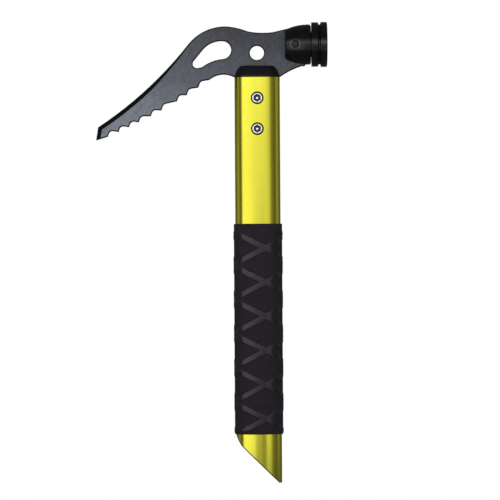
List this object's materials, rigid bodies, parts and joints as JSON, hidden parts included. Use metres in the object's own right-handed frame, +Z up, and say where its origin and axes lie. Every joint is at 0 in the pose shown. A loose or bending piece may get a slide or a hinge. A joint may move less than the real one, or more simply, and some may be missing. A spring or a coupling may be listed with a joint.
{
  "type": "piton hammer",
  "caption": "Climbing hammer: a toothed steel pick plate with a round striking head, bolted into an oval tube handle with a rubber sleeve and an angled spike end.",
  "frame": {"origin": "centre of the clip hole in the pick plate, on the plate's middle plane", "axes": "+Z up along the handle to the head, +X from the pick towards the striking face, Y across the plate"},
  "size_m": [0.1507, 0.0294, 0.299],
  "materials": {
    "plate_steel": "dark blue-grey satin, bare at the cut edges",
    "poll_steel": "near-black satin",
    "face_steel": "near-black satin",
    "pin_steel": "near-black satin",
    "filler_nylon": "black, slightly glossy",
    "tube_aluminium": "lime yellow anodised",
    "grip_rubber": "matt black with raised crossing ribs",
    "fastener_steel": "bright",
    "washer_black": "black oxide"
  },
  "bodies": {
    "root": {"head_blade": "plate_steel", "poll_body": "poll_steel", "striking_face": "face_steel", "poll_pin": "pin_steel", "filler_front": "filler_nylon", "filler_rear": "filler_nylon", "shaft_tube": "tube_aluminium", "grip_sleeve": "grip_rubber", "upper_sleeve_nut": "fastener_steel", "lower_sleeve_nut": "fastener_steel", "upper_screw": "fastener_steel", "lower_screw": "fastener_steel", "upper_front_washer": "washer_black", "lower_front_washer": "washer_black", "upper_rear_washer": "washer_black", "lower_rear_washer": "washer_black"}
  },
  "joints": []
}
